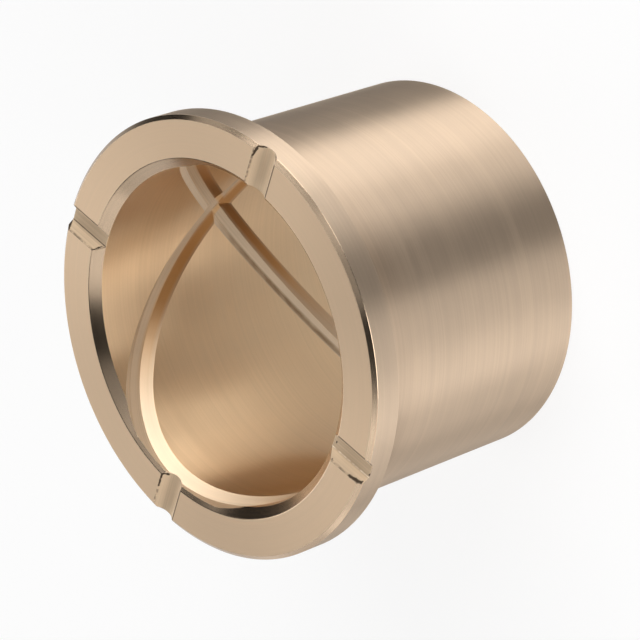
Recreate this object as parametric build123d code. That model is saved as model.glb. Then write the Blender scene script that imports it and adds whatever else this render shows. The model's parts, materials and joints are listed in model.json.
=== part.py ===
"""Flanged bearing bush, turned and milled from one bronze casting.

The bush is a thin sleeve with a flange at one end. A shaft runs in the bore, the sleeve is pressed
into a housing, and the flange face takes the end thrust. Four radial grooves cross the flange face
from the bore to the rim. Two oil grooves run once round the bore each, swing from end to end of it
and cross twice, so that they make a figure of eight seen from the side.

Frame: +Z runs along the axis, out of the flange face. The origin is on the axis in the plane of
the shoulder, the underside of the flange that seats on the housing. The radial face grooves lie
along +X, +Y, -X and -Y, and the bush stands on its plain end. Millimetres throughout.
"""

import os
from math import cos, radians, sin

from build123d import *

# Body
bore_diameter = 80.0
sleeve_wall = 5.25
sleeve_length = 65.0
flange_projection = 7.0
flange_thickness = 7.5

# Chamfers: the width is measured across the radius, the depth along the axis
mouth_chamfer_width = 2.4
mouth_chamfer_depth = 2.0
rim_chamfer_width = 1.05
rim_chamfer_depth = 0.85
end_bore_chamfer = 0.25
flange_back_edge_break = 0.25
plain_end_edge_break = 0.3

# Radial grooves in the flange face
face_groove_count = 4
face_groove_width = 6.8
face_groove_floor_width = 3.1
face_groove_depth = 2.0
face_groove_floor_radius = 2.0

# Oil grooves in the bore: widths are measured along the axis, depths across the radius. The groove's
# middle line turns back just short of the flange face, and just past the plain end.
oil_groove_width = 8.6
oil_groove_mouth_side_wall = 2.4
oil_groove_end_side_wall = 3.2
oil_groove_turn_below_face = 0.3
oil_groove_turn_past_end = 1.8
first_oil_groove_depth = 1.4
second_oil_groove_depth = 1.55

# How the cutting shapes are drawn: how far a cutter reaches clear of the metal, and the angle
# between two sections of an oil groove
cutter_reach = 1.0
oil_groove_section_step = 15

bore_radius = bore_diameter / 2
sleeve_radius = bore_radius + sleeve_wall
flange_radius = sleeve_radius + flange_projection
face_z = flange_thickness
plain_end_z = -sleeve_length


def turned_body():
    """The bush as it leaves the lathe: one half section turned about the axis."""
    half_section = [
        (bore_radius, plain_end_z + end_bore_chamfer),
        (bore_radius, face_z - mouth_chamfer_depth),
        (bore_radius + mouth_chamfer_width, face_z),
        (flange_radius - rim_chamfer_width, face_z),
        (flange_radius, face_z - rim_chamfer_depth),
        (flange_radius, flange_back_edge_break),
        (flange_radius - flange_back_edge_break, 0),
        (sleeve_radius, 0),
        (sleeve_radius, plain_end_z + plain_end_edge_break),
        (sleeve_radius - plain_end_edge_break, plain_end_z),
        (bore_radius + end_bore_chamfer, plain_end_z),
    ]
    outline = Plane.XZ * Polyline(*half_section, close=True)
    return revolve(make_face(outline), axis=Axis.Z)


def face_groove_cutter():
    """A bar of the groove's section along +X, from inside the bore to past the rim."""
    side_slope = (face_groove_width - face_groove_floor_width) / 2 / face_groove_depth
    top_half_width = face_groove_width / 2 + side_slope * cutter_reach
    floor_half_width = face_groove_floor_width / 2
    outline = Polyline(
        (-top_half_width, cutter_reach),
        (-floor_half_width, -face_groove_depth),
        (floor_half_width, -face_groove_depth),
        (top_half_width, cutter_reach),
        close=True,
    )
    section = make_face(outline)
    floor_corners = section.vertices().group_by(Axis.Y)[0]
    section = fillet(floor_corners, face_groove_floor_radius)
    start = bore_radius - cutter_reach
    across = Plane(origin=(start, 0, face_z), x_dir=(0, 1, 0), z_dir=(1, 0, 0))
    return extrude(across * section, flange_radius + cutter_reach - start)


def oil_groove_cutter(side, depth):
    """A closed ring of the groove's section, which swings along the axis as it goes round.

    Its middle is nearest to the flange face on the +X side where side is 1, and on the -X side
    where side is -1. The section is the same in every plane through the axis. One half of the
    ring is lofted through such sections, and the other half is its mirror image.
    """
    nearest_to_face = face_z - oil_groove_turn_below_face
    furthest_from_face = plain_end_z - oil_groove_turn_past_end
    middle_z = (nearest_to_face + furthest_from_face) / 2
    swing = (nearest_to_face - furthest_from_face) / 2
    upper = oil_groove_width / 2
    lower = -oil_groove_width / 2
    inner = bore_radius - cutter_reach
    outer = bore_radius + depth
    upper_reach = cutter_reach * oil_groove_mouth_side_wall / depth
    lower_reach = cutter_reach * oil_groove_end_side_wall / depth
    sections = []
    for angle in range(0, 180 + oil_groove_section_step, oil_groove_section_step):
        turn = radians(angle)
        groove_z = middle_z + side * swing * cos(turn)
        axial_plane = Plane(
            origin=(0, 0, groove_z),
            x_dir=(cos(turn), sin(turn), 0),
            z_dir=(sin(turn), -cos(turn), 0),
        )
        outline = Polyline(
            (inner, lower - lower_reach),
            (outer, lower + oil_groove_end_side_wall),
            (outer, upper - oil_groove_mouth_side_wall),
            (inner, upper + upper_reach),
            close=True,
        )
        sections.append(axial_plane * make_face(outline))
    half_ring = loft(sections)
    return [half_ring, mirror(half_ring, about=Plane.XZ)]


def flanged_bushing():
    bush = turned_body()
    bush -= PolarLocations(0, face_groove_count) * face_groove_cutter()
    bush -= oil_groove_cutter(1, first_oil_groove_depth)
    bush -= oil_groove_cutter(-1, second_oil_groove_depth)
    return bush


os.makedirs("parts", exist_ok=True)
export_step(flanged_bushing(), "parts/flanged_bushing.step")
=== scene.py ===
"""Looks of the flanged bushing: a fine mesh of the bush, its bronze, the floor, lamps and camera.

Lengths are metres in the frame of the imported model. +Z runs along the bore and out of the flange
face, the shoulder plane is z = 0, and the bush stands on its plain end. The radial grooves of the
face lie along +X, +Y, -X and -Y. A turn is an angle round the axis, from +X towards +Y.
"""

import json
from math import cos, pi, radians, sin, tau

import bpy
import numpy as np
from mathutils import Matrix, Vector


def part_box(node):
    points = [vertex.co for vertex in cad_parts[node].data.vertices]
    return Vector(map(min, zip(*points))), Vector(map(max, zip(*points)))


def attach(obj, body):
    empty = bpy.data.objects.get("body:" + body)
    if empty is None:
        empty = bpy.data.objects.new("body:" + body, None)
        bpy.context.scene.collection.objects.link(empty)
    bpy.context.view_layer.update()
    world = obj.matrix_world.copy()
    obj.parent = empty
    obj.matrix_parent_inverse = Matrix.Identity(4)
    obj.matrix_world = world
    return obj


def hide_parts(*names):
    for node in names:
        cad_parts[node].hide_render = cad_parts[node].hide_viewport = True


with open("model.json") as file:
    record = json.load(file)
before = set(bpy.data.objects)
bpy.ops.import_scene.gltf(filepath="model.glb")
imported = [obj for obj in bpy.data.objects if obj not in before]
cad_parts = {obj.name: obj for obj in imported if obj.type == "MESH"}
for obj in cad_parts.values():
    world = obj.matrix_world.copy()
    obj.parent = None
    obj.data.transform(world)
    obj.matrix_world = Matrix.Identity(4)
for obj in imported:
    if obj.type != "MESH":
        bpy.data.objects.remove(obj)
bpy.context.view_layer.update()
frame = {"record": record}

NODE = "flanged_bushing"
MM = 0.001


def mount_radius(name):
    """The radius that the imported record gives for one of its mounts."""
    mounts = {mount["name"]: mount for mount in frame["record"]["mounts"]}
    return mounts[name]["dims"]["r_mm"] * MM


# Turned form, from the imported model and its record
node_low, node_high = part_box(NODE)
BORE_RADIUS = mount_radius("bore")
SLEEVE_RADIUS = mount_radius("sleeve")
FLANGE_RADIUS = node_high.x
FACE_Z = node_high.z
PLAIN_END_Z = node_low.z

# Chamfers: the width is measured across the radius, the depth along the axis
MOUTH_CHAMFER_WIDTH = 2.4 * MM
MOUTH_CHAMFER_DEPTH = 2.0 * MM
MOUTH_CHAMFER_SLOPE = MOUTH_CHAMFER_WIDTH / MOUTH_CHAMFER_DEPTH
MOUTH_CHAMFER_FOOT = FACE_Z - MOUTH_CHAMFER_DEPTH
RIM_CHAMFER_WIDTH = 1.05 * MM
RIM_CHAMFER_DEPTH = 0.85 * MM
RIM_CHAMFER_LENGTH = np.hypot(RIM_CHAMFER_WIDTH, RIM_CHAMFER_DEPTH)
END_BORE_CHAMFER = 0.25 * MM
BACK_EDGE_BREAK = 0.25 * MM
END_EDGE_BREAK = 0.3 * MM
SHOULDER_FILLET = 0.4 * MM

# Radial grooves in the flange face. Their walls start with a small steep step at the face. How far
# the foot of the walls is rounded into the floor is given for the grooves along +X, +Y, -X and -Y.
FACE_GROOVES = 4
FACE_GROOVE_WIDTH = 6.8 * MM
FACE_GROOVE_FLOOR_WIDTH = 3.1 * MM
FACE_GROOVE_DEPTH = 2.0 * MM
FACE_GROOVE_STEP = 0.25 * MM
FACE_GROOVE_STEP_SLOPE = 3.0
FACE_GROOVE_ROUNDING = (1.2 * MM, 0.3 * MM, 1.2 * MM, 0.3 * MM)

# Oil grooves in the bore: widths along the axis, depths across the radius
OIL_GROOVE_WIDTH = 8.6 * MM
OIL_GROOVE_MOUTH_WALL = 2.4 * MM
OIL_GROOVE_END_WALL = 3.2 * MM
OIL_GROOVE_TURN_BELOW_FACE = 0.3 * MM
OIL_GROOVE_TURN_PAST_END = 1.8 * MM
# The side is 1 for the groove that turns back at the mouth at +X, and -1 for the one at -X
OIL_GROOVES = ((1, 1.4 * MM), (-1, 1.55 * MM))

# Fineness of the mesh: how far a bevelled edge reaches to each side, the least distance between
# two rows, the angle between two columns, and the angle from which an edge looks sharp
EDGE = 0.07 * MM
ROW_GAP = 0.02 * MM
COLUMN_STEP = radians(0.75)
SHARP_ANGLE = radians(9)
# How far round a small edge break or fillet one row lies from the next, and how often the radius
# of the mouth is worked out again
ROUNDING_STEP = pi / 6
MOUTH_ROUNDS = 4

# Columns of the mesh on one side of a face groove, from its middle to past its edge
FLOOR_COLUMNS = np.linspace(0.25, 1, 5)
FLOOR_COLUMNS_STOP_SHORT = 0.2 * MM
COLUMNS_FROM_FOOT = np.array([-0.1, 0.0, 0.1, 0.2]) * MM
WALL_COLUMNS = 6
WALL_COLUMNS_START = 0.35 * MM
WALL_COLUMNS_STOP_SHORT = 0.32 * MM
COLUMNS_FROM_EDGE = np.array([-0.13, 0.03, 0.9]) * MM
# How far past those the columns have become radial
RADIAL_AFTER = radians(16)

# Rows of the mesh, as shares of the way along each surface
FACE_ROWS = np.linspace(0, 1, 12)
FLANGE_SIDE_ROWS = (0.3, 0.6, 1.0)
SLEEVE_ROWS = (0.1, 0.3, 0.5, 0.7, 0.9, 1.0)
PLAIN_END_ROWS = (0.0, 0.5, 1.0)


def oil_groove_middle(side, turn):
    """Height of an oil groove's middle line at a turn."""
    nearest_to_face = FACE_Z - OIL_GROOVE_TURN_BELOW_FACE
    furthest_from_face = PLAIN_END_Z - OIL_GROOVE_TURN_PAST_END
    middle = (nearest_to_face + furthest_from_face) / 2
    swing = (nearest_to_face - furthest_from_face) / 2
    return middle + side * swing * np.cos(turn)


def oil_groove_cut(turn, z):
    """How far the oil grooves go into the bore's wall; below nothing where neither reaches."""
    cuts = []
    for side, depth in OIL_GROOVES:
        offset = z - oil_groove_middle(side, turn)
        mouth_wall = (OIL_GROOVE_WIDTH / 2 - offset) / OIL_GROOVE_MOUTH_WALL
        end_wall = (OIL_GROOVE_WIDTH / 2 + offset) / OIL_GROOVE_END_WALL
        cuts.append(depth * np.minimum(np.minimum(mouth_wall, end_wall), 1))
    return np.maximum(*cuts)


def mouth_chamfer_cut(z):
    """How far the mouth chamfer goes into the bore's wall; below nothing under its foot."""
    return (z - MOUTH_CHAMFER_FOOT) * MOUTH_CHAMFER_WIDTH / MOUTH_CHAMFER_DEPTH


def bore_wall(turn, z):
    """Radius of the inside of the bush: bore, the chamfers at its ends, and the oil grooves."""
    end_chamfer_cut = (PLAIN_END_Z + END_BORE_CHAMFER) - z
    turned = np.maximum(np.maximum(mouth_chamfer_cut(z), end_chamfer_cut), 0)
    return BORE_RADIUS + np.maximum(turned, oil_groove_cut(turn, z))


def smooth_min(a, b, blend):
    """The smaller of two values, rounded over where they meet."""
    share = np.clip(0.5 + 0.5 * (b - a) / blend, 0, 1)
    return b + (a - b) * share - blend * share * (1 - share)


def face_groove_cut(sideways, rounding):
    """Depth of a face groove at a distance to the side of its middle line."""
    wall = (FACE_GROOVE_WIDTH - FACE_GROOVE_FLOOR_WIDTH) / 2
    slope = (FACE_GROOVE_DEPTH - FACE_GROOVE_STEP) / wall
    inside = FACE_GROOVE_WIDTH / 2 - sideways
    step = inside * FACE_GROOVE_STEP_SLOPE
    down_the_wall = FACE_GROOVE_STEP + inside * slope
    floor = np.full_like(down_the_wall, FACE_GROOVE_DEPTH)
    return np.maximum(np.minimum(step, smooth_min(down_the_wall, floor, rounding)), 0)


class Columns:
    """The lines of the mesh that run up the bore, across the face and down the outside.

    Near a face groove they run parallel to it across the face, so that its edges are clean. Midway
    between two grooves they are radial.
    """

    def __init__(self):
        self.middle_radius = (BORE_RADIUS + FLANGE_RADIUS) / 2
        edge = FACE_GROOVE_WIDTH / 2
        foot = FACE_GROOVE_FLOOR_WIDTH / 2
        floor = FLOOR_COLUMNS * (foot - FLOOR_COLUMNS_STOP_SHORT)
        wall_start = foot + WALL_COLUMNS_START
        wall = np.linspace(wall_start, edge - WALL_COLUMNS_STOP_SHORT, WALL_COLUMNS)
        sideways = np.concatenate([floor, foot + COLUMNS_FROM_FOOT, wall, edge + COLUMNS_FROM_EDGE])
        near = np.arcsin(sideways / self.middle_radius)
        midway = pi / FACE_GROOVES
        count = round((midway - near[-1]) / COLUMN_STEP)
        beyond = np.linspace(near[-1], midway, count + 1)[1:]
        one_side = np.concatenate([near, beyond])
        both_sides = np.concatenate([-one_side[-2::-1], [0.0], one_side])
        self.base = np.tile(both_sides, FACE_GROOVES)
        self.groove = np.repeat(np.arange(FACE_GROOVES) * tau / FACE_GROOVES, len(both_sides))
        self.count = len(self.base)
        rounding = np.repeat(FACE_GROOVE_ROUNDING, len(both_sides))
        sideways = np.sin(np.minimum(np.abs(self.base), near[-1])) * self.middle_radius
        self.sideways = sideways * np.sign(self.base)
        self.cut = face_groove_cut(sideways, rounding)
        reach = np.clip((np.abs(self.base) - near[-1]) / RADIAL_AFTER, 0, 1)
        self.pull = 1 - reach * reach * (3 - 2 * reach)

    def turn(self, radius):
        """Angle round the axis of each column, where it crosses this radius."""
        parallel = np.arcsin(np.clip(self.sideways / radius, -1, 1))
        at_middle = np.arcsin(self.sideways / self.middle_radius)
        return self.groove + self.base + (parallel - at_middle) * self.pull


def bore_rows(turn, top):
    """Heights of the mesh's rows inside the bore, which follow the edges of the oil grooves."""
    bottom = np.full_like(turn, PLAIN_END_Z + EDGE)
    top = top - EDGE
    marks = [bottom, top]
    for corner in (PLAIN_END_Z + END_BORE_CHAMFER, MOUTH_CHAMFER_FOOT):
        marks += [np.full_like(turn, corner - EDGE), np.full_like(turn, corner + EDGE)]
    half = OIL_GROOVE_WIDTH / 2
    corners = (-half, -half + OIL_GROOVE_END_WALL, half - OIL_GROOVE_MOUTH_WALL, half)
    for side, depth in OIL_GROOVES:
        middle = oil_groove_middle(side, turn)
        for corner in corners:
            marks += [middle + corner - EDGE, middle + corner + EDGE]
        # Where the floor and the two walls of the groove run out into the mouth chamfer
        mouth_slope = depth / OIL_GROOVE_MOUTH_WALL
        end_slope = depth / OIL_GROOVE_END_WALL
        chamfer = MOUTH_CHAMFER_SLOPE * MOUTH_CHAMFER_FOOT
        mouth_wall = chamfer + mouth_slope * (middle + half)
        end_wall = chamfer + end_slope * (half - middle)
        marks.append(np.full_like(turn, MOUTH_CHAMFER_FOOT + depth / MOUTH_CHAMFER_SLOPE))
        marks.append(mouth_wall / (MOUTH_CHAMFER_SLOPE + mouth_slope))
        marks.append(end_wall / (MOUTH_CHAMFER_SLOPE - end_slope))
    # Where the mouth-side wall of one groove meets the end-side wall of the other
    for (up_side, up_depth), (down_side, down_depth) in (OIL_GROOVES, OIL_GROOVES[::-1]):
        mouth_slope = up_depth / OIL_GROOVE_MOUTH_WALL
        end_slope = down_depth / OIL_GROOVE_END_WALL
        up_middle = oil_groove_middle(up_side, turn)
        down_middle = oil_groove_middle(down_side, turn)
        crease = mouth_slope * (up_middle + half) + end_slope * (down_middle - half)
        marks.append(crease / (mouth_slope + end_slope))
    rows = np.sort(np.clip(np.array(marks), bottom, top), axis=0)
    for k in range(1, len(rows)):
        rows[k] = np.maximum(rows[k], rows[k - 1] + ROW_GAP)
    rows[-1] = top
    for k in range(len(rows) - 2, -1, -1):
        rows[k] = np.minimum(rows[k], rows[k + 1] - ROW_GAP)
    between = (rows[1:] + rows[:-1]) / 2
    return np.insert(rows, range(1, len(rows)), between, axis=0)


def bush_rows(columns):
    """The closed section of the bush in every column, as rows of (turn, radius, height, strip).

    The strip names the surface between a row and the one after it.
    """
    rows = []

    def add(turn, radius, z, strip):
        places = [np.broadcast_to(values, columns.count) for values in (turn, radius, z)]
        rows.append((*places, strip))

    # The radius of the mouth depends on the turn, and a column's turn on the radius
    top = FACE_Z - columns.cut
    mouth_radius = np.full(columns.count, BORE_RADIUS)
    for _ in range(MOUTH_ROUNDS):
        mouth_radius = bore_wall(columns.turn(mouth_radius), top)
    inner_turn = columns.turn(mouth_radius)

    for z in bore_rows(inner_turn, top):
        add(inner_turn, bore_wall(inner_turn, z), z, "bore")

    cut_share = np.minimum(columns.cut / RIM_CHAMFER_DEPTH, 1)
    rim_radius = FLANGE_RADIUS - RIM_CHAMFER_WIDTH * (1 - cut_share)
    start = mouth_radius + EDGE
    end = rim_radius - EDGE
    for share in FACE_ROWS:
        radius = start + (end - start) * share
        add(columns.turn(radius), radius, top, "face")

    # A path down the rim chamfer, or what a face groove leaves of it, and on down the flange
    chamfer_left = RIM_CHAMFER_LENGTH * (1 - cut_share)
    first = np.full(columns.count, EDGE)
    second = np.maximum(chamfer_left - EDGE, 2 * EDGE)
    third = np.maximum(chamfer_left + EDGE, 3 * EDGE)
    for path, strip in ((first, "rim"), (second, "rim"), (third, "outside")):
        on_chamfer = np.minimum(path, chamfer_left)
        share = on_chamfer / RIM_CHAMFER_LENGTH
        radius = rim_radius + share * RIM_CHAMFER_WIDTH
        z = top - share * RIM_CHAMFER_DEPTH - (path - on_chamfer)
        add(columns.turn(radius), radius, z, strip)

    outer_turn = columns.turn(FLANGE_RADIUS)
    side_top = z
    for share in FLANGE_SIDE_ROWS:
        z = side_top + (BACK_EDGE_BREAK - side_top) * share
        add(outer_turn, FLANGE_RADIUS, z, "outside")
    for step, strip in ((1, "outside"), (2, "outside"), (3, "shoulder")):
        swept = step * ROUNDING_STEP
        inward = BACK_EDGE_BREAK * (1 - cos(swept))
        add(outer_turn, FLANGE_RADIUS - inward, BACK_EDGE_BREAK * (1 - sin(swept)), strip)
    for step in (0, 1, 2, 3):
        swept = step * ROUNDING_STEP
        radius = SLEEVE_RADIUS + SHOULDER_FILLET * (1 - sin(swept))
        add(outer_turn, radius, -SHOULDER_FILLET * (1 - cos(swept)), "outside")
    for share in SLEEVE_ROWS:
        z = -SHOULDER_FILLET + (PLAIN_END_Z + END_EDGE_BREAK + SHOULDER_FILLET) * share
        add(outer_turn, SLEEVE_RADIUS, z, "outside")

    inner_edge = bore_wall(inner_turn, np.full(columns.count, PLAIN_END_Z)) + EDGE
    outer_edge = SLEEVE_RADIUS - END_EDGE_BREAK
    for share in PLAIN_END_ROWS:
        turn = outer_turn + (inner_turn - outer_turn) * share
        add(turn, outer_edge + (inner_edge - outer_edge) * share, PLAIN_END_Z, "end")
    return rows


FINISHES = ("turned", "faced", "bored", "milled_bore", "milled_face", "chamfered")
# The finish of each strip, except in the bore
STRIP_FINISHES = {
    "face": "faced",
    "rim": "chamfered",
    "outside": "turned",
    "shoulder": "faced",
    "end": "faced",
}
# The least cut that shows as milled, and how far a face groove's finish reaches past its edge
LEAST_MILLED_CUT = 0.02 * MM
MILLED_PAST_EDGE = 0.1 * MM


def finish_of(strip, z, turn, sideways):
    """The number of the finish that each quad of a strip has, from the quad's middle point."""
    if strip == "bore":
        cut = oil_groove_cut(turn, z)
        milled = (cut > LEAST_MILLED_CUT) & (cut > mouth_chamfer_cut(z))
        in_the_bore = z < MOUTH_CHAMFER_FOOT
        turned = np.where(in_the_bore, FINISHES.index("bored"), FINISHES.index("chamfered"))
        return np.where(milled, FINISHES.index("milled_bore"), turned)
    found = np.full(len(z), FINISHES.index(STRIP_FINISHES[strip]))
    if strip == "face":
        in_groove = sideways < FACE_GROOVE_WIDTH / 2 + MILLED_PAST_EDGE
        found = np.where(in_groove, FINISHES.index("milled_face"), found)
    return found


def build_bush(materials):
    """The whole bush as one closed mesh of quads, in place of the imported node."""
    columns = Columns()
    rows = bush_rows(columns)
    turn = np.array([row[0] for row in rows])
    radius = np.array([row[1] for row in rows])
    z = np.array([row[2] for row in rows])
    points = np.stack([radius * np.cos(turn), radius * np.sin(turn), z], -1).reshape(-1, 3)
    row_count, column_count = turn.shape
    index = np.arange(row_count * column_count).reshape(row_count, column_count)
    next_column = np.roll(index, -1, axis=1)
    next_row = np.roll(index, -1, axis=0)
    across = np.roll(next_row, -1, axis=1)
    quads = np.stack([index, next_row, across, next_column], -1).reshape(-1, 4)

    centre = points[quads].mean(axis=1)
    centre_turn = np.arctan2(centre[:, 1], centre[:, 0])
    sideways = np.abs(columns.sideways)
    sideways = np.maximum(sideways, np.roll(sideways, -1))
    zones = []
    for k, row in enumerate(rows):
        span = slice(k * column_count, (k + 1) * column_count)
        zones.append(finish_of(row[3], centre[span, 2], centre_turn[span], sideways))

    mesh = bpy.data.meshes.new("bush")
    mesh.from_pydata(points.tolist(), [], quads.tolist())
    mesh.validate()
    for name in FINISHES:
        mesh.materials.append(materials[name])
    mesh.polygons.foreach_set("material_index", np.concatenate(zones).astype(np.int32))
    mesh.polygons.foreach_set("use_smooth", np.ones(len(quads), bool))
    mesh.set_sharp_from_angle(angle=SHARP_ANGLE)
    mesh.update()
    bush = bpy.data.objects.new("bush", mesh)
    bpy.context.scene.collection.objects.link(bush)
    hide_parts(NODE)
    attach(bush, "root")


class Nodes:
    """A short way to build a material's nodes and link them."""

    def __init__(self, tree):
        self.tree = tree
        tree.nodes.clear()

    def add(self, kind, inputs=None, **settings):
        """A new node. Each input is a value, or the output of another node that is linked to it."""
        node = self.tree.nodes.new(kind)
        for name, value in settings.items():
            setattr(node, name, value)
        for name, value in (inputs or {}).items():
            socket = node.inputs[name]
            if isinstance(value, bpy.types.NodeSocket):
                self.tree.links.new(value, socket)
            else:
                socket.default_value = value
        return node

    def math(self, operation, a, b=0.0, c=0.0):
        """A number from up to three numbers."""
        return self.add("ShaderNodeMath", {0: a, 1: b, 2: c}, operation=operation).outputs[0]

    def vector_math(self, operation, a, b):
        """A vector from two vectors."""
        return self.add("ShaderNodeVectorMath", {0: a, 1: b}, operation=operation).outputs[0]

    def measure(self, operation, a, b=(0.0, 0.0, 0.0)):
        """A number from two vectors."""
        node = self.add("ShaderNodeVectorMath", {0: a, 1: b}, operation=operation)
        return node.outputs["Value"]

    def scaled(self, vector, scale):
        """A vector times a number."""
        inputs = {0: vector, "Scale": scale}
        return self.add("ShaderNodeVectorMath", inputs, operation="SCALE").outputs[0]

    def range(self, value, low, high, to_low, to_high):
        """A value from one range put into another, and held inside it."""
        inputs = {"Value": value, "From Min": low, "From Max": high}
        inputs.update({"To Min": to_low, "To Max": to_high})
        return self.add("ShaderNodeMapRange", inputs).outputs[0]

    def vector(self, x, y, z):
        """A vector from three numbers."""
        return self.add("ShaderNodeCombineXYZ", {"X": x, "Y": y, "Z": z}).outputs[0]

    def split(self, vector):
        """The x, y and z of a vector."""
        outputs = self.add("ShaderNodeSeparateXYZ", {"Vector": vector}).outputs
        return outputs[0], outputs[1], outputs[2]

    def noise(self, vector, scale, detail=2.0, roughness=0.5):
        """A smooth noise between 0 and 1."""
        inputs = {"Vector": vector, "Scale": scale, "Detail": detail, "Roughness": roughness}
        return self.add("ShaderNodeTexNoise", inputs).outputs["Fac"]

    def mix(self, share, a, b):
        """Colour a with a share of colour b."""
        factor, colour_a, colour_b, colour_result = 0, 6, 7, 2
        inputs = {factor: share, colour_a: a, colour_b: b}
        return self.add("ShaderNodeMix", inputs, data_type="RGBA").outputs[colour_result]


# One bronze: palest where it is faced or milled, more golden in the bore, darker on the outside and
# darkest on the chamfers. The darker colours of the outside and the chamfers are painted shade:
# darker copies of the bronze that stand in for the darker reflections there.
TURNED_COLOUR_WITH_PAINTED_SHADE = (0.53, 0.415, 0.31)
FACED_COLOUR = (0.68, 0.518, 0.362)
BORED_COLOUR = (0.7, 0.51, 0.32)
MILLED_COLOUR = (0.66, 0.53, 0.385)
CHAMFER_COLOUR_WITH_PAINTED_SHADE = (0.42, 0.315, 0.22)
# Painted shade on the end-side walls of the oil grooves and on the mouth-side wall of one of them
END_WALL_SHADE_COLOUR = (0.6, 0.37, 0.18, 1.0)
MOUTH_WALL_SHADE_COLOUR = (0.26, 0.165, 0.09, 1.0)
# Colour of a painted highlight, and the dark colour of the pits and of painted shade and shadow
PAINTED_HIGHLIGHT_COLOUR = (0.95, 0.85, 0.7, 1.0)
PIT_AND_PAINTED_SHADE_COLOUR = (0.1, 0.07, 0.05, 1.0)

# How far the bronze goes to each side of its colour at a grain of 1, and the part of the noise
# over which it does so
TONE_CHANGE = 0.06
NOISE_LOW = 0.35
NOISE_HIGH = 0.65

# How often in a metre the noise changes: from tool mark to tool mark, from one feed of the tool to
# the next, along a mark, and from patch to patch of the whole surface
MARKS = 2600.0
FEEDS = 420.0
ALONG_A_MARK = 12.0
PATCHES = 60.0
# The shares of the marks, the feeds and the patches in how the colour and roughness vary
NOISE_WEIGHTS = (0.5, 0.2, 0.3)
MARK_HEIGHT = 0.04 * MM

# Tiny pits: one may lie in each cell of a pattern. Cells in a metre, the share of them without a
# pit, and the least and largest radius of a pit in cells.
PIT_CELLS = 170.0
CELLS_WITHOUT = 0.9
PIT_RADIUS = (0.02, 0.055)
PIT_DARKNESS = 0.8

# Nicks where the milling cutter tore the ends of the face grooves, darkened with painted shadow of
# notches that the mesh doesn't cut, in mm: start, end and half width
NICKS_WITH_PAINTED_SHADOW = (
    ((49.2, 3.2, 7.4), (51.7, 3.0, 6.7), 0.35),
    ((51.7, 3.0, 6.7), (52.2, 1.4, 5.6), 0.3),
    ((52.2, -2.2, 5.9), (51.7, -3.3, 7.2), 0.25),
    ((-3.4, 51.2, 7.4), (-2.0, 52.2, 6.0), 0.4),
    ((-3.5, 42.3, 7.4), (-1.4, 40.6, 5.6), 0.22),
    ((-45.8, 3.3, 7.4), (-42.2, 3.3, 7.4), 0.28),
    ((-42.2, 3.3, 7.4), (-42.0, 2.2, 6.4), 0.42),
    ((-42.0, 2.2, 6.4), (-41.0, -0.5, 5.5), 0.25),
    ((0.2, -40.9, 5.6), (-3.0, -42.4, 7.2), 0.3),
    ((-3.2, -48.4, 7.4), (-2.9, -51.6, 7.0), 0.5),
    ((-2.9, -51.6, 7.0), (-0.8, -52.2, 5.6), 0.35),
    ((3.2, -51.8, 7.2), (2.2, -52.2, 6.0), 0.25),
)
# The share of a nick's half width that is quite dark, and how far its edge wanders to each side
NICK_CORE = 0.6
NICK_RAGGEDNESS = 0.12 * MM
NICK_NOISE = 1500.0
NICK_NOISE_SPAN = (0.3, 0.7)
NICK_SHADOW_DARKNESS = 0.9
NICK_ROUGHNESS = 0.3

# Painted shade along the face grooves' edges and a crease, and a painted highlight along another
# crease: how far to the side of the groove's middle, and half the width
DEEP_EDGE_LINE = (-FACE_GROOVE_WIDTH / 2 - 0.06 * MM, 0.34 * MM)
LIGHT_EDGE_LINE = (FACE_GROOVE_WIDTH / 2, 0.22 * MM)
CREASE_LINE = (1.5 * MM, 0.16 * MM)
DEEP_EDGE_DARKNESS = 0.85
LIGHT_EDGE_DARKNESS = 0.6
CREASE_DARKNESS = 0.7
# Only the grooves along Y have a crease line, so it is drawn no further than this from the Y axis
CREASES_FROM_Y_AXIS = 5 * MM
BROKEN_LINE_NOISE = 900.0
BROKEN_LINE_NOISE_SPAN = (0.35, 0.6)
# Share of a line's half width that is fully drawn
LINE_CORE = 0.4

# The walls of the oil grooves, where painted shade is drawn: half the width of what is drawn on
# one, as a share of the wall, and the x over which the painted shade of the end-side walls sets in
# and that of the mouth-side wall goes out
WALL_REACH = 0.56
END_WALL_SHADE_SETS_IN = (-36 * MM, -20 * MM)
MOUTH_WALL_SHADE_GOES_OUT = (-16 * MM, -3 * MM)
MOUTH_WALL_SHADE_NOISE = 300.0
MOUTH_WALL_SHADE_NOISE_SPAN = (0.3, 0.6)
MOUTH_WALL_SHADE_DARKNESS = (0.55, 0.85)
SHADED_END_WALL_SMOOTHNESS = 0.18


def line_at(nodes, value, middle, half_width):
    """1 on a thin line where a value passes its middle, and 0 away from it."""
    away = nodes.math("ABSOLUTE", nodes.math("SUBTRACT", value, middle))
    return nodes.range(away, half_width * LINE_CORE, half_width, 1.0, 0.0)


def height_in_oil_groove(nodes, place, side):
    """How far above an oil groove's middle line a point lies.

    The middle line is level in x: its height changes evenly with x, not with the turn.
    """
    x, _, z = nodes.split(place)
    at_axis = float(oil_groove_middle(side, pi / 2))
    slope = (float(oil_groove_middle(side, 0)) - at_axis) / BORE_RADIUS
    return nodes.math("SUBTRACT", nodes.math("MULTIPLY_ADD", x, -slope, z), at_axis)


def oil_groove_end_wall_shade(nodes, place):
    """1 where painted shade darkens the end-side walls of the oil grooves, short of the -X end."""
    x = nodes.split(place)[0]
    end_wall = -OIL_GROOVE_WIDTH / 2 + OIL_GROOVE_END_WALL / 2
    end_wall_shade = 0.0
    for side, _ in OIL_GROOVES:
        height = height_in_oil_groove(nodes, place, side)
        on_it = line_at(nodes, height, end_wall, OIL_GROOVE_END_WALL * WALL_REACH)
        end_wall_shade = nodes.math("MAXIMUM", on_it, end_wall_shade)
    return nodes.math("MULTIPLY", end_wall_shade, nodes.range(x, *END_WALL_SHADE_SETS_IN, 0.0, 1.0))


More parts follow.
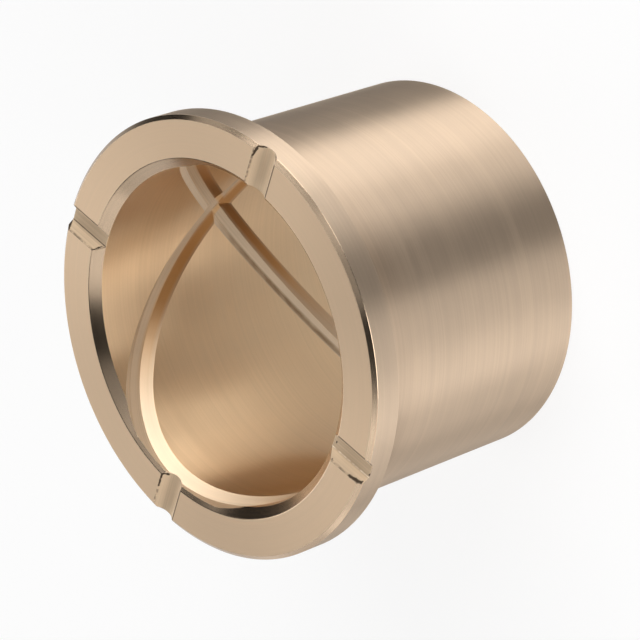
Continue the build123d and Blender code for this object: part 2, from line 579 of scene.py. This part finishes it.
def oil_groove_mouth_wall_shade(nodes, place):
    """1 where painted shade darkens the mouth-side wall of the first oil groove, on its -X half."""
    x = nodes.split(place)[0]
    mouth_wall = OIL_GROOVE_WIDTH / 2 - OIL_GROOVE_MOUTH_WALL / 2
    first_side = OIL_GROOVES[0][0]
    height = height_in_oil_groove(nodes, place, first_side)
    on_it = line_at(nodes, height, mouth_wall, OIL_GROOVE_MOUTH_WALL * WALL_REACH)
    uneven = nodes.range(nodes.noise(place, MOUTH_WALL_SHADE_NOISE), *MOUTH_WALL_SHADE_NOISE_SPAN, *MOUTH_WALL_SHADE_DARKNESS)
    on_it = nodes.math("MULTIPLY", on_it, uneven)
    return nodes.math("MULTIPLY", on_it, nodes.range(x, *MOUTH_WALL_SHADE_GOES_OUT, 1.0, 0.0))


def across_the_marks(nodes, place, marks_follow):
    """The coordinate, in metres, in which one tool mark follows another."""
    x, y, z = nodes.split(place)
    if marks_follow == "axis":
        return z
    if marks_follow == "radius":
        return nodes.measure("LENGTH", nodes.vector(x, y, 0.0))
    if marks_follow == "face_groove":
        return nodes.math("MINIMUM", nodes.math("ABSOLUTE", x), nodes.math("ABSOLUTE", y))
    heights = [height_in_oil_groove(nodes, place, side) for side, _ in OIL_GROOVES]
    return nodes.math("MINIMUM", *(nodes.math("ABSOLUTE", height) for height in heights))


def specks(nodes, place):
    """Tiny pits, 1 where there is one and 0 elsewhere."""
    cells = nodes.add("ShaderNodeTexVoronoi", {"Vector": place, "Scale": PIT_CELLS})
    pick = nodes.add("ShaderNodeSeparateColor", {"Color": cells.outputs["Color"]})
    chosen = nodes.math("GREATER_THAN", pick.outputs[0], CELLS_WITHOUT)
    size = nodes.range(pick.outputs[1], 0.0, 1.0, *PIT_RADIUS)
    inside = nodes.math("LESS_THAN", cells.outputs["Distance"], size)
    return nodes.math("MULTIPLY", chosen, inside)


def nicks_with_painted_shadow(nodes, place):
    """1 in the nicks at the ends of the face grooves and 0 elsewhere, with ragged edges: the nicks
    are darkened with painted shadow.
    """
    noise = nodes.noise(place, NICK_NOISE)
    ragged = nodes.range(noise, *NICK_NOISE_SPAN, -NICK_RAGGEDNESS, NICK_RAGGEDNESS)
    found = 0.0
    for start, end, half_width in NICKS_WITH_PAINTED_SHADOW:
        start = Vector(start) * MM
        along = Vector(end) * MM - start
        from_start = nodes.vector_math("SUBTRACT", place, tuple(start))
        share = nodes.measure("DOT_PRODUCT", from_start, tuple(along / along.length_squared))
        share = nodes.range(share, 0.0, 1.0, 0.0, 1.0)
        away = nodes.measure("DISTANCE", from_start, nodes.scaled(tuple(along), share))
        away = nodes.math("ADD", away, ragged)
        inside = nodes.range(away, NICK_CORE * half_width * MM, half_width * MM, 1.0, 0.0)
        found = nodes.math("MAXIMUM", inside, found)
    return found


def groove_side(nodes, place):
    """How far to the side of its groove's middle line a point of the face lies.

    It is below 0 on the -Y side of the grooves along X, and on the +X side of those along Y.
    """
    x, y, _ = nodes.split(place)
    along_x = nodes.math("GREATER_THAN", nodes.math("ABSOLUTE", x), nodes.math("ABSOLUTE", y))
    other_way = nodes.math("MULTIPLY", x, -1.0)
    return nodes.math("MULTIPLY_ADD", along_x, nodes.math("ADD", x, y), other_way)


def groove_shade_and_highlight_lines(nodes, place):
    """Painted shade along the edges of the face grooves and a crease, and painted highlights.

    The groove along +Y has a crease of painted shade, and the one along -Y a painted highlight.
    """
    x, y, z = nodes.split(place)
    on_the_face = nodes.math("GREATER_THAN", z, 0.0)
    side = groove_side(nodes, place)
    noise = nodes.noise(place, BROKEN_LINE_NOISE)
    broken = nodes.range(noise, *BROKEN_LINE_NOISE_SPAN, 0.0, 1.0)
    deep_edge = line_at(nodes, side, *DEEP_EDGE_LINE)
    dark = nodes.math("MULTIPLY", deep_edge, DEEP_EDGE_DARKNESS)
    light_edge = line_at(nodes, side, *LIGHT_EDGE_LINE)
    light_edge = nodes.math("MULTIPLY", light_edge, LIGHT_EDGE_DARKNESS)
    dark = nodes.math("MAXIMUM", dark, nodes.math("MULTIPLY", light_edge, broken))
    along_y = nodes.math("LESS_THAN", nodes.math("ABSOLUTE", x), CREASES_FROM_Y_AXIS)
    crease = nodes.math("MULTIPLY", line_at(nodes, side, *CREASE_LINE), along_y)
    upper = nodes.math("MULTIPLY", crease, nodes.math("GREATER_THAN", y, 0.0))
    dark = nodes.math("MAXIMUM", dark, nodes.math("MULTIPLY", upper, CREASE_DARKNESS))
    lower = nodes.math("MULTIPLY", crease, nodes.math("LESS_THAN", y, 0.0))
    light = nodes.math("MULTIPLY", lower, broken)
    return nodes.math("MULTIPLY", dark, on_the_face), nodes.math("MULTIPLY", light, on_the_face)


def machined_noise(nodes, place, marks_follow):
    """The noise of the tool marks alone, and of the marks, feeds and patches together."""
    across = across_the_marks(nodes, place, marks_follow)
    along = nodes.vector_math("MULTIPLY", place, (ALONG_A_MARK,) * 3)
    by_mark = nodes.vector(0.0, 0.0, nodes.math("MULTIPLY", across, MARKS))
    by_feed = nodes.vector(0.0, 0.0, nodes.math("MULTIPLY", across, FEEDS))
    marks = nodes.noise(nodes.vector_math("ADD", along, by_mark), 1.0, detail=3.0, roughness=0.65)
    feeds = nodes.noise(nodes.vector_math("ADD", along, by_feed), 1.0)
    patches = nodes.noise(place, PATCHES, detail=3.0)
    noises = zip((marks, feeds, patches), NOISE_WEIGHTS)
    first, second, third = [nodes.math("MULTIPLY", noise, weight) for noise, weight in noises]
    return marks, nodes.math("ADD", nodes.math("ADD", first, second), third)


def bronze_material(name, marks_follow, roughness, anisotropy, mark_depth, colour, grain, uneven):
    """Machined bronze. Grain is how much its colour varies, and uneven how much its roughness."""
    material = bpy.data.materials.new(name)
    material.use_nodes = True
    nodes = Nodes(material.node_tree)
    place = nodes.add("ShaderNodeTexCoord").outputs["Object"]
    marks, noise = machined_noise(nodes, place, marks_follow)
    light = tuple(c * (1 + TONE_CHANGE * grain) for c in colour) + (1.0,)
    dark = tuple(c * (1 - TONE_CHANGE * grain) for c in colour) + (1.0,)
    colour = nodes.mix(nodes.range(noise, NOISE_LOW, NOISE_HIGH, 0.0, 1.0), dark, light)
    rough = nodes.range(noise, NOISE_LOW, NOISE_HIGH, roughness - uneven, roughness + uneven)
    if name == "milled_bore":
        # Painted shade on the oil grooves' walls; the shaded end-side walls are also smoother
        end_wall_shade = oil_groove_end_wall_shade(nodes, place)
        colour = nodes.mix(end_wall_shade, colour, END_WALL_SHADE_COLOUR)
        rough = nodes.math("MULTIPLY_ADD", end_wall_shade, -SHADED_END_WALL_SMOOTHNESS, rough)
        colour = nodes.mix(oil_groove_mouth_wall_shade(nodes, place), colour, MOUTH_WALL_SHADE_COLOUR)
    if name in ("milled_face", "faced"):
        # Painted shade along the face grooves' edges and the +Y crease, and a painted highlight
        # along the -Y crease
        painted_shade_line, painted_highlight_line = groove_shade_and_highlight_lines(nodes, place)
        colour = nodes.mix(painted_shade_line, colour, PIT_AND_PAINTED_SHADE_COLOUR)
        colour = nodes.mix(painted_highlight_line, colour, PAINTED_HIGHLIGHT_COLOUR)
    if name in ("milled_face", "faced", "chamfered"):
        # The nicks are rougher, and darkened with painted shadow
        torn_and_shadowed = nodes.math("MULTIPLY", nicks_with_painted_shadow(nodes, place), NICK_SHADOW_DARKNESS)
        colour = nodes.mix(torn_and_shadowed, colour, PIT_AND_PAINTED_SHADE_COLOUR)
        rough = nodes.math("MULTIPLY_ADD", torn_and_shadowed, NICK_ROUGHNESS, rough)
    pits = nodes.math("MULTIPLY", specks(nodes, place), PIT_DARKNESS)
    colour = nodes.mix(pits, colour, PIT_AND_PAINTED_SHADE_COLOUR)
    height = nodes.math("SUBTRACT", marks, pits)
    inputs = {"Height": height, "Strength": mark_depth, "Distance": MARK_HEIGHT}
    bump = nodes.add("ShaderNodeBump", inputs).outputs[0]
    tangent = nodes.add("ShaderNodeTangent", direction_type="RADIAL", axis="Z").outputs[0]
    shader = nodes.add("ShaderNodeBsdfPrincipled", {
        "Base Color": colour,
        "Metallic": 1.0,
        "Roughness": rough,
        "Anisotropic": anisotropy,
        "Anisotropic Rotation": 0.25,
        "Tangent": tangent,
        "Normal": bump,
    })
    nodes.add("ShaderNodeOutputMaterial", {"Surface": shader.outputs[0]})
    return material


# Which way one tool mark follows another, roughness, anisotropy, depth of the marks, colour, grain
# and unevenness of each finish
FINISH_LOOKS = {
    "turned": ("axis", 0.58, 1.0, 0.2, TURNED_COLOUR_WITH_PAINTED_SHADE, 1.5, 0.08),
    "faced": ("radius", 0.6, 0.5, 0.12, FACED_COLOUR, 0.6, 0.03),
    "bored": ("axis", 0.37, 0.97, 0.2, BORED_COLOUR, 1.0, 0.03),
    "milled_bore": ("oil_groove", 0.55, 0.2, 0.35, MILLED_COLOUR, 2.5, 0.03),
    "milled_face": ("face_groove", 0.8, 0.2, 0.4, MILLED_COLOUR, 2.5, 0.03),
    "chamfered": ("radius", 0.24, 0.4, 0.03, CHAMFER_COLOUR_WITH_PAINTED_SHADE, 1.0, 0.03),
}


def bronze_materials():
    """The material of each finish."""
    return {name: bronze_material(name, *look) for name, look in FINISH_LOOKS.items()}


FLOOR_COLOUR = (0.9, 0.9, 0.9, 1.0)
FLOOR_RINGS = (0.15, 0.4, 1.0, 2.5, 6.0)
FLOOR_SIDES = 96
WHITE = (1.0, 1.0, 1.0, 1.0)
# How much of the white that the camera and the metal see in the floor is its own: the rest is lit
FLOOR_OWN_WHITE = 0.8


def floor_material():
    """A pale floor that shows white, and still takes the shadow of the bush."""
    material = bpy.data.materials.new("floor")
    material.use_nodes = True
    nodes = Nodes(material.node_tree)
    ray = nodes.add("ShaderNodeLightPath").outputs
    seen = nodes.math("MAXIMUM", ray["Is Camera Ray"], ray["Is Glossy Ray"])
    seen = nodes.math("MAXIMUM", seen, ray["Is Transmission Ray"])
    lit = nodes.add("ShaderNodeBsdfDiffuse", {"Color": FLOOR_COLOUR}).outputs[0]
    white = nodes.add("ShaderNodeEmission", {"Color": WHITE, "Strength": 1.0}).outputs[0]
    share = nodes.math("MULTIPLY", seen, FLOOR_OWN_WHITE)
    shader = nodes.add("ShaderNodeMixShader", {0: share, 1: lit, 2: white}).outputs[0]
    nodes.add("ShaderNodeOutputMaterial", {"Surface": shader})
    return material


def make_floor():
    """A wide plain floor, as one round sheet of quads about a fan of triangles."""
    points = [(0.0, 0.0, PLAIN_END_Z)]
    for ring in FLOOR_RINGS:
        for step in range(FLOOR_SIDES):
            turn = tau * step / FLOOR_SIDES
            points.append((ring * cos(turn), ring * sin(turn), PLAIN_END_Z))
    faces = []
    for step in range(FLOOR_SIDES):
        after = (step + 1) % FLOOR_SIDES
        faces.append((0, 1 + step, 1 + after))
        for ring in range(len(FLOOR_RINGS) - 1):
            inner = 1 + ring * FLOOR_SIDES
            outer = inner + FLOOR_SIDES
            faces.append((inner + step, outer + step, outer + after, inner + after))
    mesh = bpy.data.meshes.new("floor")
    mesh.from_pydata(points, [], faces)
    mesh.materials.append(floor_material())
    floor = bpy.data.objects.new("floor", mesh)
    bpy.context.scene.collection.objects.link(floor)


LAMP_DISTANCE = 0.9
LAMP_AIM = Vector((0, 0, -0.02))
# Soft boxes round the bush, in degrees as seen from it: azimuth from +X, elevation, width, height,
# and then radiance
LAMPS = {
    "key_low": (24, 10, 34, 20, 4.8),
    "key_middle": (20, 29, 52, 18, 6.8),
    "key_high": (14, 52, 40, 20, 0.7),
    "right_low": (-14, 10, 18, 20, 3.0),
    "left_low": (-70, 10, 34, 20, 5.3),
    "left_wide": (-110, 10, 50, 20, 2.1),
    "left_middle": (-102, 29, 22, 18, 6.2),
    "far_left_middle": (-140, 32, 46, 22, 1.4),
    "far_left_high": (-145, 54, 50, 20, 1.4),
    "back_low": (130, 10, 30, 20, 2.6),
    "back_middle": (128, 32, 34, 22, 2.8),
    "behind_low": (-172, 13, 46, 28, 1.05),
    "top_right": (-22, 61, 32, 16, 0.7),
    "back_key": (67, 27, 16, 16, 0.9),
}
# The world is white up to the first of these heights above the horizon, in degrees, and as dark as
# a room from the second one up
PALE_HORIZON = (-0.5, 2.0)
ROOM_LEVEL = 0.02


def soft_lamp(name, azimuth, elevation, width, height, radiance):
    """A flat soft box that faces the bush."""
    lamp = bpy.data.lights.new(name, "AREA")
    lamp.shape = "RECTANGLE"
    lamp.size = 2 * LAMP_DISTANCE * np.tan(radians(width / 2))
    lamp.size_y = 2 * LAMP_DISTANCE * np.tan(radians(height / 2))
    lamp.energy = radiance * pi * lamp.size * lamp.size_y
    place = bpy.data.objects.new(name, lamp)
    bpy.context.scene.collection.objects.link(place)
    a, e = radians(azimuth), radians(elevation)
    towards = Vector((cos(a) * cos(e), sin(a) * cos(e), sin(e)))
    place.location = LAMP_AIM + towards * LAMP_DISTANCE
    place.rotation_euler = towards.to_track_quat("Z", "Y").to_euler()


def light_the_scene():
    """The soft boxes, and a world that is pale where the floor ends and a dark room above it."""
    for name, lamp in LAMPS.items():
        soft_lamp(name, *lamp)
    world = bpy.data.worlds.new("studio")
    bpy.context.scene.world = world
    world.use_nodes = True
    nodes = Nodes(world.node_tree)
    up = nodes.split(nodes.add("ShaderNodeTexCoord").outputs["Generated"])[2]
    low, high = (sin(radians(height)) for height in PALE_HORIZON)
    level = nodes.range(up, low, high, 1.0, ROOM_LEVEL)
    background = nodes.add("ShaderNodeBackground", {"Color": level, "Strength": 1.0})
    nodes.add("ShaderNodeOutputWorld", {"Surface": background.outputs[0]})


# Camera: fitted to the circles and edges of the bush in the photograph
CAMERA_PLACE = Vector((0.440102, -0.397154, 0.490112))
CAMERA_RIGHT = Vector((0.242796, -0.658627, -0.712222))
CAMERA_UP = Vector((0.789701, 0.560598, -0.249205))
CAMERA_LENS = 189.31
CAMERA_SENSOR_WIDTH = 36.0
CAMERA_SEES_AS_FAR_AS = 20


def place_camera():
    """The camera, where the photograph was taken from."""
    data = bpy.data.cameras.new("camera")
    data.sensor_width = CAMERA_SENSOR_WIDTH
    data.lens = CAMERA_LENS
    data.clip_end = CAMERA_SEES_AS_FAR_AS
    camera = bpy.data.objects.new("camera", data)
    bpy.context.scene.collection.objects.link(camera)
    back = CAMERA_RIGHT.cross(CAMERA_UP)
    turn = Matrix((CAMERA_RIGHT, CAMERA_UP, back)).transposed()
    camera.matrix_world = Matrix.Translation(CAMERA_PLACE) @ turn.to_4x4()
    bpy.context.scene.camera = camera


build_bush(bronze_materials())
make_floor()
light_the_scene()
place_camera()
bpy.context.scene.view_settings.view_transform = "Standard"
